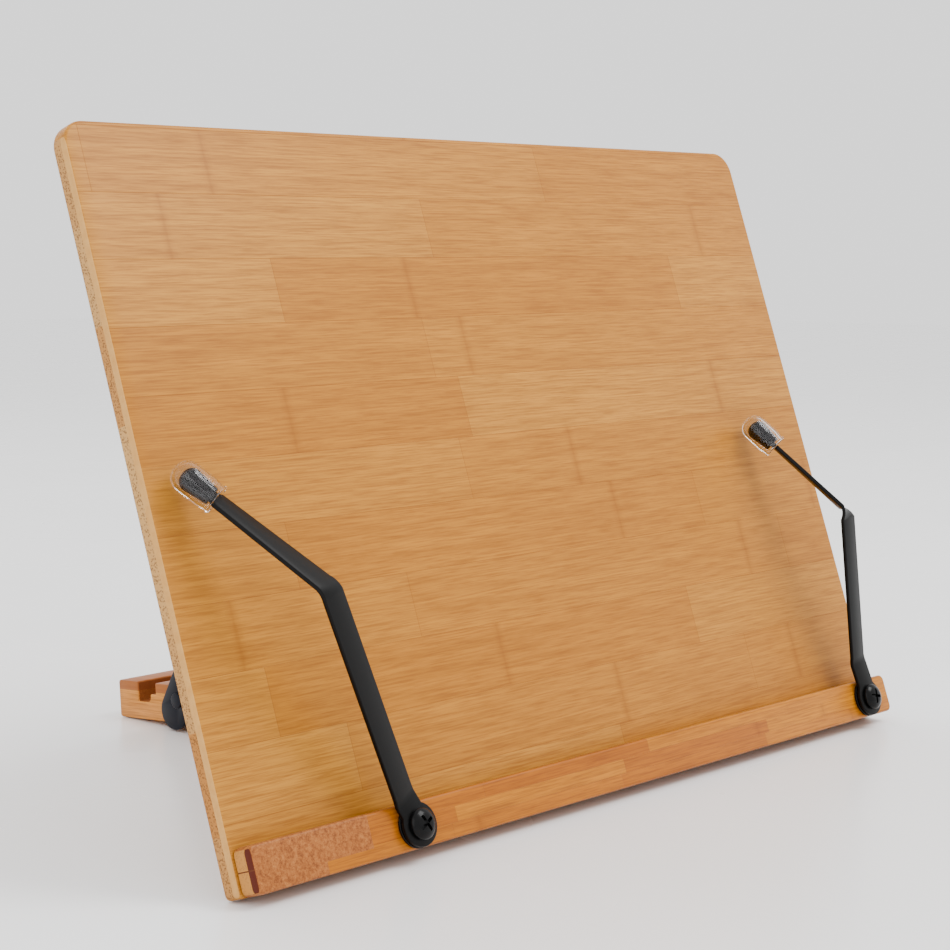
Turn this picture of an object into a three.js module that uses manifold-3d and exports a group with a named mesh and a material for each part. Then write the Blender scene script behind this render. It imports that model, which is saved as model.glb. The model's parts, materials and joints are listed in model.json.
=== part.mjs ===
// A folding bamboo book stand, in millimetres, +Z up. The reader sits on the -Y side.
// A board leans back on its lower edge. A notched foot is hinged to its back, and a prop of two
// steel legs holds the foot open. Two bent steel arms press the pages against the board.
import * as THREE from 'three';
import { mergeVertices } from 'three/addons/utils/BufferGeometryUtils.js';
import Module from 'manifold-3d';

const wasm = await Module();
wasm.setup();
const degrees = Math.PI / 180;

// ---- Driving dimensions ---------------------------------------------------------------------
const gap = 0.3;                // between pieces that touch on the real object
const holeClearance = 0.3;      // from a shank to the wall of its hole
const past = 1;                 // that a cutter runs beyond the surface it cuts

const boardWidth = 340;
const boardHeight = 238;
const boardThickness = 6.5;
const boardCorner = 8.5;        // radius of the two upper corners
const boardFootCorner = 2;      // radius of the two lower corners
const boardEase = 0.9;          // rounding of all the board's edges
const leanAngle = 19;           // of the board, back from upright

const ledgeInset = 1;           // from each side of the board
const ledgeHeight = 14.5;
const ledgeDepth = 8;
const ledgeCorner = 2.2;
const ledgeEase = 0.8;
const ledgeScrewsAt = [-132, -55, 55, 132];   // from the middle
const ledgeScrewReach = 5.5;    // into the ledge
const belowScrew = { board: 0.4, ledge: 1, foot: 1, arm: 0.8 };   // free depth past a screw's point

const armLeftFromSide = 67;     // arm pivots, from the nearer side of the board
const armRightFromSide = 17.6;
const armThickness = 1.5;
const armWidth = 9.6;
const armTipWidth = 7.2;
const armEyeRadius = 7;
const armKinkLength = 3;        // of strip taken up where it leaves the ledge
const armBendLength = 5;        // of strip taken up by the main fold
const tongueWidth = 5;
const tongueLength = 9;
const tongueTaper = 1.2;        // of strip that narrows to the tongue
// Each arm is turned to its own place and bent by hand, across two oblique lines. It starts flat
// against the ledge, kinks outward, runs on, folds back towards the board and runs to its tip.
const armLeft = {
  turn: -23.2, flat: 9.6, kinkLine: 17.8, kink: 15.6,
  lower: 73.4, foldLine: -18.2, fold: 42.2, upper: 42,
};
const armRight = {
  turn: -5.7, flat: 15.4, kinkLine: 17.5, kink: 17.1,
  lower: 59.3, foldLine: -38.4, fold: 57.2, upper: 36.9,
};
const armScrewRadius = 1.9;
const armHeadRadius = 5;
const armHeadHeight = 2.6;
const armRecess = 0.55;         // half width of the cross recess
const armScrewPoint = 2;
const armScrewReach = 10.5;     // from the ledge's face into the wood
const spacerRadius = 7.2;
const spacerThickness = 0.9;

const beadRadius = 3.8;
const beadLength = 12;
const sleeveWall = 0.9;
const sleeveOverhang = 1.6;     // of clear sleeve beyond the bead
const beadNeck = [[0, 0.6], [2.9, 0.6], [3.3, 1.2], [3.6, 3]];    // radius and place along the strip
const sleeveNeck = { inner: 3.8, outer: 4.6, rim: 0.3, start: -1, middle: -0.5, end: 0.2 };
const sleeveShoulder = 3;       // where the sleeve reaches its full width

const footWidth = 68;
const footThickness = 15;
const footEase = 0.8;
const footCorner = 1;
const hingeHeight = 35;         // of the foot's hinge axis, up the board's back
const hingeRise = 2.6;          // of that axis off the board's back and off the foot's top
const footRear = 208;           // from the hinge axis to the foot's rear end
const footFront = -2.2;         // to its front end, which stops on the board when wide open
const notchCount = 4;
const notchPitch = 25;
const notchFromEnd = 12;        // first notch's upright wall, from the foot's rear end
const notchDepth = 8;
const notchWidth = 10.9;
const notchLower = 7.6;         // width below the small step
const notchRound = 2.6;         // rounding of the lower part's front corner
const notchStep = 4.7;          // depth of the step
const restNotch = 1;            // the notch in use, counted from the rear end

const leafWidth = 26;
const leafLength = 16;
const leafThickness = 1.2;
const knuckleRadius = 2.3;
const knuckleLength = 8;        // of each outer knuckle
const knuckleGap = 0.4;
const pinRadius = 0.95;
const pinHead = { radius: 1.7, length: 0.8 };
const hingeSpacing = 38;        // between the two hinges' middles

const propFromTop = 21;         // of the prop's pivots, down from the board's upper edge
const propStandoff = 8;         // of the pivots off the board's back
const propSideGap = 1;          // from the foot's side to the leg
const legWidth = 15;
const legThickness = 2;
const legEase = 0.3;
const legBeyondRod = 5.2;       // from the rod to the middle of the leg's round end
const rodRadius = 2.5;
const rodToWall = 0.5;          // from the rod to the notch's upright wall
const rodRivetHead = { radius: 3, height: 0.7 };
const bracketThickness = 1.5;
const bracketFlange = 16;
const bracketHeight = 24;
const earHalf = 6.5;            // half the height of the bracket's ear
const bracketScrewHead = 1.2;   // height of its screws' heads
const rivetRadius = 1.9;
const rivetHeadRadius = 3.6;
const rivetHeadHeight = 1;
const pivotRivetInset = 0.1;    // of its inner end, inside the leg's inner face

const woodScrew = { radius: 1.3, head: 2.7, headHeight: 0.6, reach: 4.3 };
const ledgeScrew = { radius: 1.5, head: 3.2, headHeight: 1.3 };
const screwPoint = 1.5;         // length of a wood screw's pointed end
const screwRecess = 0.35;       // half width of its cross recess

// ---- Materials ------------------------------------------------------------------------------
const finish = (color, roughness, metalness) => () =>
  new THREE.MeshStandardMaterial({ color, roughness, metalness });
const bamboo = finish(0xc98a42, 0.5, 0);
const ledgeBamboo = finish(0xc07a35, 0.45, 0);
const blackSteel = finish(0x17181a, 0.35, 0.6);
const blackRubber = finish(0x1d1b1e, 0.25, 0);
const clearPlastic = finish(0xe8e8ec, 0.12, 0);
const zincSteel = finish(0xa9acb0, 0.3, 1);

// ---- Solids ---------------------------------------------------------------------------------
// A closed mesh becomes a solid that can be joined and cut, and is turned right side out.
function solid(geometry) {
  const bare = geometry.index ? geometry.toNonIndexed() : geometry.clone();
  bare.deleteAttribute('normal');
  bare.deleteAttribute('uv');
  const merged = mergeVertices(bare, 1e-4);
  const vertProperties = merged.attributes.position.array;
  const triVerts = Uint32Array.from(merged.index.array);
  const body = new wasm.Manifold(new wasm.Mesh({ numProp: 3, vertProperties, triVerts }));
  if (body.volume() > 0) return body;
  return new wasm.Manifold(new wasm.Mesh({ numProp: 3, vertProperties, triVerts: triVerts.reverse() }));
}

function geometryOf(body) {
  const mesh = body.getMesh();
  const geometry = new THREE.BufferGeometry();
  geometry.setAttribute('position', new THREE.BufferAttribute(mesh.vertProperties, 3));
  geometry.setIndex(new THREE.BufferAttribute(mesh.triVerts, 1));
  geometry.computeVertexNormals();
  return geometry;
}

function box(x0, x1, y0, y1, z0, z1) {
  const geometry = new THREE.BoxGeometry(x1 - x0, y1 - y0, z1 - z0);
  geometry.translate((x0 + x1) / 2, (y0 + y1) / 2, (z0 + z1) / 2);
  return solid(geometry);
}

// A round bar along one axis, from start to end, through (x, y, z) across it.
function bar(axis, radius, start, end, { x = 0, y = 0, z = 0 }, sides = 16) {
  const geometry = new THREE.CylinderGeometry(radius, radius, end - start, sides);
  geometry.translate(0, (start + end) / 2, 0);
  if (axis === 'x') geometry.rotateZ(-Math.PI / 2);
  if (axis === 'z') geometry.rotateX(Math.PI / 2);
  geometry.translate(x, y, z);
  return solid(geometry);
}

// A shape turned about the Y axis, from [radius, y] pairs that start and end on the axis.
function turned(profile, sides = 24) {
  return solid(new THREE.LatheGeometry(profile.map(([r, y]) => new THREE.Vector2(r, y)), sides));
}

// A rectangle with its own radius at the lower and the upper corners.
function roundedOutline(x0, x1, y0, y1, lower, upper) {
  const outline = new THREE.Shape();
  outline.moveTo(x0 + lower, y0);
  outline.lineTo(x1 - lower, y0);
  outline.absarc(x1 - lower, y0 + lower, lower, -Math.PI / 2, 0);
  outline.lineTo(x1, y1 - upper);
  outline.absarc(x1 - upper, y1 - upper, upper, 0, Math.PI / 2);
  outline.lineTo(x0 + upper, y1);
  outline.absarc(x0 + upper, y1 - upper, upper, Math.PI / 2, Math.PI);
  outline.lineTo(x0, y0 + lower);
  outline.absarc(x0 + lower, y0 + lower, lower, Math.PI, Math.PI * 1.5);
  return outline;
}

function extruded(outline, depth, ease) {
  return new THREE.ExtrudeGeometry(outline, {
    depth: depth - 2 * ease, bevelEnabled: ease > 0, bevelThickness: ease,
    bevelSize: ease, bevelOffset: -ease, bevelSegments: 2, curveSegments: 6,
  }).translate(0, 0, ease);
}

// An outline in (x, z), made thick from y0 to y1.
function slabAlongY(outline, y0, y1, ease = 0) {
  const geometry = extruded(outline, y1 - y0, ease);
  geometry.rotateX(Math.PI / 2);
  geometry.translate(0, y1, 0);
  return solid(geometry);
}

// An outline in (y, z), made thick from x0 to x1.
function slabAlongX(outline, x0, x1, ease = 0) {
  const geometry = extruded(outline, x1 - x0, ease);
  const turn = new THREE.Matrix4().makeBasis(
    new THREE.Vector3(0, 1, 0), new THREE.Vector3(0, 0, 1), new THREE.Vector3(1, 0, 0));
  geometry.applyMatrix4(turn);
  geometry.translate(x0, 0, 0);
  return solid(geometry);
}

function addPiece(group, name, body, material) {
  const mesh = new THREE.Mesh(geometryOf(body), material());
  mesh.name = name;
  group.add(mesh);
  return mesh;
}

// ---- Screws ---------------------------------------------------------------------------------
// A wood screw along Y: its head's underside is at y = 0 and its shank points to -Y.
function backScrew({ radius, head, headHeight }, reach) {
  const recess = 0.55 * headHeight;
  const body = turned([[0, -reach], [0.4 * radius, -reach], [radius, -reach + screwPoint], [radius, 0],
    [head, 0], [head, 0.5 * headHeight], [0.7 * head, headHeight], [0, headHeight]], 14);
  const slot = (w, l) => box(-w, w, headHeight - recess, headHeight + past, -l, l);
  const arm = 0.55 * head;
  return body.subtract(slot(screwRecess, arm)).subtract(slot(arm, screwRecess));
}

function placeScrew(group, name, body, x, y, z) {
  const mesh = addPiece(group, name, body, zincSteel);
  mesh.position.set(x, y, z);
  return mesh;
}

// ---- The board and the ledge ----------------------------------------------------------------
const boardBack = boardThickness;
const halfBoard = boardWidth / 2;
const halfLedge = halfBoard - ledgeInset;
const ledgeMiddle = ledgeHeight / 2;
const propHeight = boardHeight - propFromTop;
const armPivots = { left: armLeftFromSide - halfBoard, right: halfBoard - armRightFromSide };
const hingePlaces = [-hingeSpacing / 2, hingeSpacing / 2];
const leafScrewSpread = 0.32 * leafWidth;
const leafScrewHeight = 0.62 * leafLength;

const halfFoot = footWidth / 2;
const legInner = halfFoot + propSideGap;
const legOuter = legInner + legThickness;
const earInner = legOuter + gap;
const earOuter = earInner + bracketThickness;
const bracketScrewX = earOuter + 0.56 * bracketFlange;
const bracketScrewSpread = 0.3 * bracketHeight;

function backBoard() {
  const outline = roundedOutline(-halfBoard, halfBoard, 0, boardHeight, boardFootCorner, boardCorner);
  let body = slabAlongY(outline, 0, boardThickness, boardEase);
  const drill = (x, z, radius, y0, y1) => {
    body = body.subtract(bar('y', radius, y0, y1, { x, z }, 16));
  };
  for (const x of ledgeScrewsAt) {
    drill(x, ledgeMiddle, ledgeScrew.radius + holeClearance, -past, boardBack + past);
    const seat = boardBack - ledgeScrew.headHeight - gap;
    drill(x, ledgeMiddle, ledgeScrew.head + holeClearance, seat, boardBack + past);
  }
  for (const x of Object.values(armPivots)) {
    const depth = armScrewReach - ledgeDepth + belowScrew.arm;
    drill(x, ledgeMiddle, armScrewRadius + holeClearance, -past, depth);
  }
  const screwHole = woodScrew.radius + holeClearance;
  const screwEnd = boardBack - woodScrew.reach - belowScrew.board;
  for (const x of hingePlaces) {
    for (const side of [-1, 1]) {
      const z = hingeHeight + leafScrewHeight;
      drill(x + side * leafScrewSpread, z, screwHole, screwEnd, boardBack + past);
    }
  }
  for (const side of [-1, 1]) {
    for (const step of [-1, 1]) {
      const z = propHeight + step * bracketScrewSpread;
      drill(side * bracketScrewX, z, screwHole, screwEnd, boardBack + past);
    }
  }
  return body;
}

function frontLedge() {
  const outline = roundedOutline(-halfLedge, halfLedge, 0, ledgeHeight, ledgeCorner, ledgeCorner);
  let body = slabAlongY(outline, -ledgeDepth, -gap, ledgeEase);
  for (const x of ledgeScrewsAt) {
    const end = -ledgeScrewReach - belowScrew.ledge;
    const place = { x, z: ledgeMiddle };
    body = body.subtract(bar('y', ledgeScrew.radius + holeClearance, end, past, place));
  }
  for (const x of Object.values(armPivots)) {
    const end = -ledgeDepth - past;
    body = body.subtract(bar('y', armScrewRadius + holeClearance, end, past, { x, z: ledgeMiddle }));
  }
  return body;
}

// ---- The arms -------------------------------------------------------------------------------
// A strip of steel followed along its length. width, outward and along are its own directions.
function stripTrack() {
  const stations = [];
  const place = new THREE.Vector3();
  const along = new THREE.Vector3(0, 0, 1);
  const width = new THREE.Vector3(1, 0, 0);
  let breadth = armWidth;
  const note = () => stations.push({
    place: place.clone(), width: width.clone(), breadth,
    outward: new THREE.Vector3().crossVectors(width, along) });
  const go = (length, endBreadth = breadth) => {
    place.addScaledVector(along, length);
    breadth = endBreadth;
    note();
  };
  const bend = (foldLine, angle, length, steps) => {
    const axis = width.clone().multiplyScalar(Math.cos(foldLine)).addScaledVector(along, Math.sin(foldLine));
    for (let step = 0; step < steps; step += 1) {
      along.applyAxisAngle(axis, angle / steps);
      width.applyAxisAngle(axis, angle / steps);
      go(length / steps);
    }
  };
  note();
  return { stations, go, bend, along, place, width };
}

// The solid strip through all the stations: four corners at each, joined along the strip.
function stripSolid(stations, thickness) {
  const corners = [[-1, -1], [1, -1], [1, 1], [-1, 1]];
  const positions = [];
  for (const { place, width, outward, breadth } of stations) {
    for (const [across, through] of corners) {
      const corner = place.clone().addScaledVector(width, across * breadth / 2);
      corner.addScaledVector(outward, through * thickness / 2);
      positions.push(corner.x, corner.y, corner.z);
    }
  }
  const faces = [0, 1, 2, 0, 2, 3];
  for (let i = 0; i + 1 < stations.length; i += 1) {
    for (let k = 0; k < 4; k += 1) {
      const [a, b] = [4 * i + k, 4 * i + (k + 1) % 4];
      faces.push(a, a + 4, b, b, a + 4, b + 4);
    }
  }
  const last = 4 * (stations.length - 1);
  faces.push(last, last + 2, last + 1, last, last + 3, last + 2);
  const geometry = new THREE.BufferGeometry();
  geometry.setAttribute('position', new THREE.Float32BufferAttribute(positions, 3));
  geometry.setIndex(faces);
  return solid(geometry);
}

function armStrip({ flat, kinkLine, kink, lower, foldLine, fold, upper }) {
  const track = stripTrack();
  track.go(flat - armKinkLength / 2);
  track.bend(kinkLine * degrees, kink * degrees, armKinkLength, 3);
  track.go(lower - armKinkLength / 2 - armBendLength / 2);
  track.bend(foldLine * degrees, -fold * degrees, armBendLength, 6);
  track.go(upper - armBendLength / 2, armTipWidth);
  track.go(tongueTaper, tongueWidth);
  const neck = { place: track.place.clone(), along: track.along.clone(), width: track.width.clone() };
  track.go(tongueLength);
  const eye = bar('y', armEyeRadius, -armThickness / 2, armThickness / 2, {}, 28);
  const hole = bar('y', armScrewRadius + holeClearance, -armThickness, armThickness, {}, 16);
  return { body: stripSolid(track.stations, armThickness).add(eye).subtract(hole), neck };
}

// The dark bead is pushed on the strip's tongue. Its own Y axis runs along the strip.
function tipBead() {
  const dome = beadRadius;
  const profile = [...beadNeck];
  for (let step = 0; step <= 5; step += 1) {
    const turn = (step / 5) * Math.PI / 2;
    profile.push([dome * Math.cos(turn), beadLength - dome + dome * Math.sin(turn)]);
  }
  profile[profile.length - 1][0] = 0;
  const slot = box(-tongueWidth / 2 - gap, tongueWidth / 2 + gap, -past, tongueLength + gap,
    -armThickness / 2 - gap, armThickness / 2 + gap);
  return turned(profile, 20).subtract(slot);
}

// The clear sleeve is an open-necked cap around the bead, with a rolled rim at its neck.
function tipSleeve() {
  const inner = beadRadius + gap;
  const outer = inner + sleeveWall;
  const crown = beadLength - beadRadius + sleeveOverhang;
  const neck = sleeveNeck;
  const profile = [[neck.inner, neck.start], [neck.outer, neck.start],
    [neck.outer + neck.rim, neck.middle], [neck.outer, neck.end], [outer, sleeveShoulder]];
  const arc = (radius, steps) => Array.from({ length: steps + 1 }, (_, step) => {
    const turn = (step / steps) * Math.PI / 2;
    return [step === steps ? 0 : radius * Math.cos(turn), crown + radius * Math.sin(turn)];
  });
  profile.push(...arc(outer, 5), ...arc(inner, 5).reverse(),
    [inner, sleeveShoulder], [neck.inner, neck.end], [neck.inner, neck.start]);
  return turned(profile, 22);
}

function armScrew() {
  const face = -ledgeDepth;
  const headBase = face - 3 * gap - spacerThickness - armThickness;
  const end = face + armScrewReach;
  const r = armScrewRadius;
  const h = armHeadRadius;
  const profile = [[0, end], [0.4 * r, end], [r, end - armScrewPoint], [r, headBase], [h, headBase],
    [h, headBase - 0.35 * armHeadHeight], [0.86 * h, headBase - 0.72 * armHeadHeight],
    [0.5 * h, headBase - armHeadHeight], [0, headBase - armHeadHeight]];
  const top = headBase - armHeadHeight;
  const cross = (w, l) => box(-w, w, top - past, top + 0.55 * armHeadHeight, -l, l);
  const reach = 0.58 * h;
  return turned(profile, 28).subtract(cross(armRecess, reach)).subtract(cross(reach, armRecess));
}

function armSpacer() {
  const face = -ledgeDepth - gap;
  const disc = bar('y', spacerRadius, face - spacerThickness, face, {}, 28);
  const [from, to] = [face - spacerThickness - past, face + past];
  return disc.subtract(bar('y', armScrewRadius + holeClearance, from, to, {}));
}

function buildArm(panel, side, shape) {
  const pivotX = armPivots[side];
  const stripOff = ledgeDepth + 2 * gap + spacerThickness + armThickness / 2;
  const arm = new THREE.Group();
  arm.position.set(pivotX, -stripOff, ledgeMiddle);
  arm.rotation.y = shape.turn * degrees;
  panel.add(arm);
  const { body, neck } = armStrip(shape);
  addPiece(arm, `${side}_arm_strip`, body, blackSteel);
  const tip = new THREE.Group();
  tip.position.copy(neck.place);
  const across = new THREE.Vector3().crossVectors(neck.width, neck.along);
  tip.quaternion.setFromRotationMatrix(new THREE.Matrix4().makeBasis(neck.width, neck.along, across));
  arm.add(tip);
  addPiece(tip, `${side}_tip_bead`, tipBead(), blackRubber);
  addPiece(tip, `${side}_tip_sleeve`, tipSleeve(), clearPlastic);
  const screw = addPiece(panel, `${side}_arm_screw`, armScrew(), blackSteel);
  const spacer = addPiece(panel, `${side}_arm_spacer`, armSpacer(), blackSteel);
  for (const piece of [screw, spacer]) piece.position.set(pivotX, 0, ledgeMiddle);
}

// ---- The hinges -----------------------------------------------------------------------------
// One leaf with its axis along X at the origin. It runs to +Y, and lies below the axis.
function hingeLeaf(knuckles, others) {
  const half = leafWidth / 2;
  const top = -knuckleRadius + leafThickness;
  let body = box(-half, half, 0, leafLength, -knuckleRadius, top);
  for (const [x0, x1] of others) {
    body = body.subtract(bar('x', knuckleRadius + gap, x0 - knuckleGap, x1 + knuckleGap, {}));
  }
  for (const [x0, x1] of knuckles) body = body.add(bar('x', knuckleRadius, x0, x1, {}));
  body = body.subtract(bar('x', pinRadius + holeClearance, -half - past, half + past, {}));
  for (const side of [-1, 1]) {
    const place = { x: side * leafScrewSpread, y: leafScrewHeight };
    const from = -knuckleRadius - past;
    body = body.subtract(bar('z', woodScrew.radius + holeClearance, from, top + past, place));
  }
  return body;
}

const halfLeaf = leafWidth / 2;
const outerKnuckles = [[-halfLeaf, -halfLeaf + knuckleLength], [halfLeaf - knuckleLength, halfLeaf]];
const middleKnuckle = [[-halfLeaf + knuckleLength + knuckleGap, halfLeaf - knuckleLength - knuckleGap]];

function hingePin() {
  const end = halfLeaf + gap;
  const { radius, length } = pinHead;
  return bar('x', pinRadius, -end - length / 2, end + length / 2, {})
    .add(bar('x', radius, -end - length, -end, {}))
    .add(bar('x', radius, end, end + length, {}));
}

// ---- The foot -------------------------------------------------------------------------------
// The foot's frame has its origin on the hinge axis, +Y to the rear and +Z off its top.
const footTop = -hingeRise;
const notchWalls = Array.from({ length: notchCount }, (_, k) => footRear - notchFromEnd - k * notchPitch);
const rodPlace = {
  y: notchWalls[restNotch] - rodRadius - rodToWall,
  z: footTop - notchDepth + rodRadius + gap,
};

function notchCutter(wall) {
  const outline = new THREE.Shape();
  const floor = footTop - notchDepth;
  const step = footTop - notchStep;
  const stepEdge = wall - notchLower;
  outline.moveTo(wall, footTop + past);
  outline.lineTo(wall, floor);
  outline.lineTo(stepEdge + notchRound, floor);
  outline.quadraticCurveTo(stepEdge, floor, stepEdge, floor + notchRound);
  outline.lineTo(stepEdge, step);
  outline.lineTo(wall - notchWidth, step);
  outline.lineTo(wall - notchWidth, footTop + past);
  return slabAlongX(outline, -halfFoot - past, halfFoot + past);
}

function footPlate() {
  const bottom = footTop - footThickness;
  const outline = roundedOutline(footFront, footRear, bottom, footTop, footCorner, footCorner);
  let body = slabAlongX(outline, -halfFoot, halfFoot, footEase);
  for (const wall of notchWalls) body = body.subtract(notchCutter(wall));
  for (const x of hingePlaces) {
    for (const side of [-1, 1]) {
      const place = { x: x + side * leafScrewSpread, y: leafScrewHeight };
      const end = footTop - woodScrew.reach - belowScrew.foot;
      body = body.subtract(bar('z', woodScrew.radius + holeClearance, end, footTop + past, place));
    }
  }
  return body;
}

const lowestPoint = (piece) => new THREE.Box3().setFromObject(piece, true).min.z;

// The foot slopes down until its rounded rear edge is level with the board's lowest edge.
function buildFoot(stand, axis, floor) {
  const reach = Math.hypot(footRear, hingeRise + footThickness);
  const slope = Math.asin((axis.z - floor) / reach) - Math.atan2(hingeRise + footThickness, footRear);
  const foot = new THREE.Group();
  foot.position.set(0, axis.y, axis.z);
  foot.rotation.x = -slope;
  stand.add(foot);
  const plate = addPiece(foot, 'foot_plate', footPlate(), bamboo);
  foot.updateMatrixWorld(true);
  foot.rotation.x -= (lowestPoint(plate) - floor) / footRear;
  const leaf = hingeLeaf(middleKnuckle, outerKnuckles);
  hingePlaces.forEach((x, i) => {
    const side = ['left', 'right'][i];
    addPiece(foot, `${side}_hinge_foot_leaf`, leaf, zincSteel).position.x = x;
    [-1, 1].forEach((way, k) => {
      const top = -knuckleRadius + leafThickness + gap;
      const screw = backScrew(woodScrew, woodScrew.reach + leafThickness + gap);
      const name = `${side}_foot_hinge_screw_${k + 1}`;
      const mesh = placeScrew(foot, name, screw, x + way * leafScrewSpread, leafScrewHeight, top);
      mesh.rotation.x = Math.PI / 2;
    });
  });
  const halfRod = legInner - gap;
  addPiece(foot, 'prop_rod', bar('x', rodRadius, -halfRod, halfRod, rodPlace, 20), blackSteel);
  return foot;
}

// ---- The prop -------------------------------------------------------------------------------
// The prop's frame has its origin on the pivot axis, with the legs hanging to -Z.
function propLeg(side, length) {
  const half = legWidth / 2;
  const roundEnd = half - 0.01;   // a hair less than half, so that each side keeps its two corners
  const outline = roundedOutline(-half, half, -length - legBeyondRod - half, half, roundEnd, roundEnd);
  const [x0, x1] = side < 0 ? [-legOuter, -legInner] : [legInner, legOuter];
  const body = slabAlongX(outline, x0, x1, legEase);
  const hole = (z) => bar('x', rivetRadius + holeClearance, x0 - past, x1 + past, { z });
  return body.subtract(hole(0)).subtract(hole(-length));
}

// The rivet that ties a leg to the rod: a low head outside, and a shank through the leg.
function rodRivet(side) {
  const [from, to] = [legInner, legOuter + gap];
  const { radius, height } = rodRivetHead;
  const body = bar('x', rivetRadius, from, to + height / 2, {}).add(bar('x', radius, to, to + height, {}));
  return side < 0 ? body.mirror([1, 0, 0]) : body;
}

// The rivet that carries a leg on its bracket's ear. Its inner end is flush with the leg, so that
// the folded foot passes.
function pivotRivet(side) {
  const outer = earOuter + gap;
  const inner = legInner + pivotRivetInset;
  const body = bar('x', rivetRadius, inner, outer + rivetHeadHeight / 2, {})
    .add(bar('x', rivetHeadRadius, outer, outer + rivetHeadHeight, {}));
  return side < 0 ? body.mirror([1, 0, 0]) : body;
}

// A bent bracket: a flange screwed to the board's back, and an ear that carries the leg.
function propBracket(side) {
  const half = bracketHeight / 2;
  const back = boardBack + gap;
  const flange = box(earInner, earOuter + bracketFlange, back, back + bracketThickness,
    propHeight - half, propHeight + half);
  const pivot = { y: boardBack + propStandoff, z: propHeight };
  const ear = box(earInner, earOuter, back, pivot.y, propHeight - earHalf, propHeight + earHalf)
    .add(bar('x', earHalf, earInner, earOuter, pivot, 24));
  const pivotHole = bar('x', rivetRadius + holeClearance, earInner - past, earOuter + past, pivot);
  let body = flange.add(ear).subtract(pivotHole);
  for (const step of [-1, 1]) {
    const place = { x: bracketScrewX, z: propHeight + step * bracketScrewSpread };
    const end = back + bracketThickness + past;
    body = body.subtract(bar('y', woodScrew.radius + holeClearance, back - past, end, place));
  }
  return side < 0 ? body.mirror([1, 0, 0]) : body;
}

function buildProp(stand, pivot, rod) {
  const length = Math.hypot(rod.y - pivot.y, rod.z - pivot.z);
  const prop = new THREE.Group();
  prop.position.set(0, pivot.y, pivot.z);
  prop.rotation.x = Math.atan2(rod.y - pivot.y, pivot.z - rod.z);
  stand.add(prop);
  for (const [name, side] of [['left', -1], ['right', 1]]) {
    addPiece(prop, `${name}_prop_leg`, propLeg(side, length), blackSteel);
    addPiece(prop, `${name}_rod_rivet`, rodRivet(side), blackSteel).position.z = -length;
  }
  return prop;
}

// ---- The whole stand ------------------------------------------------------------------------
function buildPanel(stand) {
  const panel = new THREE.Group();
  panel.rotation.x = -leanAngle * degrees;
  panel.position.z = boardThickness * Math.sin(leanAngle * degrees);
  stand.add(panel);
  addPiece(panel, 'back_board', backBoard(), bamboo);
  addPiece(panel, 'front_ledge', frontLedge(), ledgeBamboo);
  ledgeScrewsAt.forEach((x, i) => {
    const screw = backScrew(ledgeScrew, boardBack - ledgeScrew.headHeight + ledgeScrewReach);
    placeScrew(panel, `ledge_screw_${i + 1}`, screw, x, boardBack - ledgeScrew.headHeight, ledgeMiddle);
  });
  buildArm(panel, 'left', armLeft);
  buildArm(panel, 'right', armRight);
  const leaf = hingeLeaf(outerKnuckles, middleKnuckle);
  const screwTop = boardBack + gap + leafThickness + gap;
  hingePlaces.forEach((x, i) => {
    const side = ['left', 'right'][i];
    const mesh = addPiece(panel, `${side}_hinge_board_leaf`, leaf, zincSteel);
    mesh.position.set(x, boardBack + hingeRise, hingeHeight);
    mesh.rotation.set(-Math.PI / 2, Math.PI, 0, 'YXZ');
    addPiece(panel, `${side}_hinge_pin`, hingePin(), zincSteel)
      .position.set(x, boardBack + hingeRise, hingeHeight);
    [-1, 1].forEach((way, k) => {
      const screw = backScrew(woodScrew, woodScrew.reach + leafThickness + gap);
      const name = `${side}_board_hinge_screw_${k + 1}`;
      placeScrew(panel, name, screw, x + way * leafScrewSpread, screwTop, hingeHeight + leafScrewHeight);
    });
  });
  const bracketTop = boardBack + gap + bracketThickness + gap;
  for (const [name, side] of [['left', -1], ['right', 1]]) {
    addPiece(panel, `${name}_prop_bracket`, propBracket(side), blackSteel);
    addPiece(panel, `${name}_pivot_rivet`, pivotRivet(side), blackSteel)
      .position.set(0, boardBack + propStandoff, propHeight);
    [-1, 1].forEach((step, k) => {
      const reach = woodScrew.reach + bracketThickness + gap;
      const screw = backScrew({ ...woodScrew, headHeight: bracketScrewHead }, reach);
      const z = propHeight + step * bracketScrewSpread;
      placeScrew(panel, `${name}_bracket_screw_${k + 1}`, screw, side * bracketScrewX, bracketTop, z);
    });
  }
  return panel;
}

function buildStand() {
  const stand = new THREE.Group();
  const panel = buildPanel(stand);
  stand.updateMatrixWorld(true);
  const inPanel = (y, z) => panel.localToWorld(new THREE.Vector3(0, y, z));
  const axis = inPanel(boardBack + hingeRise, hingeHeight);
  const foot = buildFoot(stand, axis, lowestPoint(panel));
  stand.updateMatrixWorld(true);
  const rod = foot.localToWorld(new THREE.Vector3(0, rodPlace.y, rodPlace.z));
  buildProp(stand, inPanel(boardBack + propStandoff, propHeight), rod);
  const bounds = new THREE.Box3().setFromObject(stand, true);
  const middle = bounds.getCenter(new THREE.Vector3());
  stand.position.set(-middle.x, -middle.y, -bounds.min.z);
  return stand;
}

export default buildStand();
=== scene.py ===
# %% [markdown]
# # A folding bamboo book stand
# The working model gives every piece its place and size. This lesson dresses it: the board, the
# ledge and the foot are shaped again in wood with soft edges, the page arms and the prop get their
# rounded steel edges, and every finish is mixed from patterns.

# %% Load the working model
import json
import math

import bpy
from mathutils import Matrix, Vector

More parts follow.
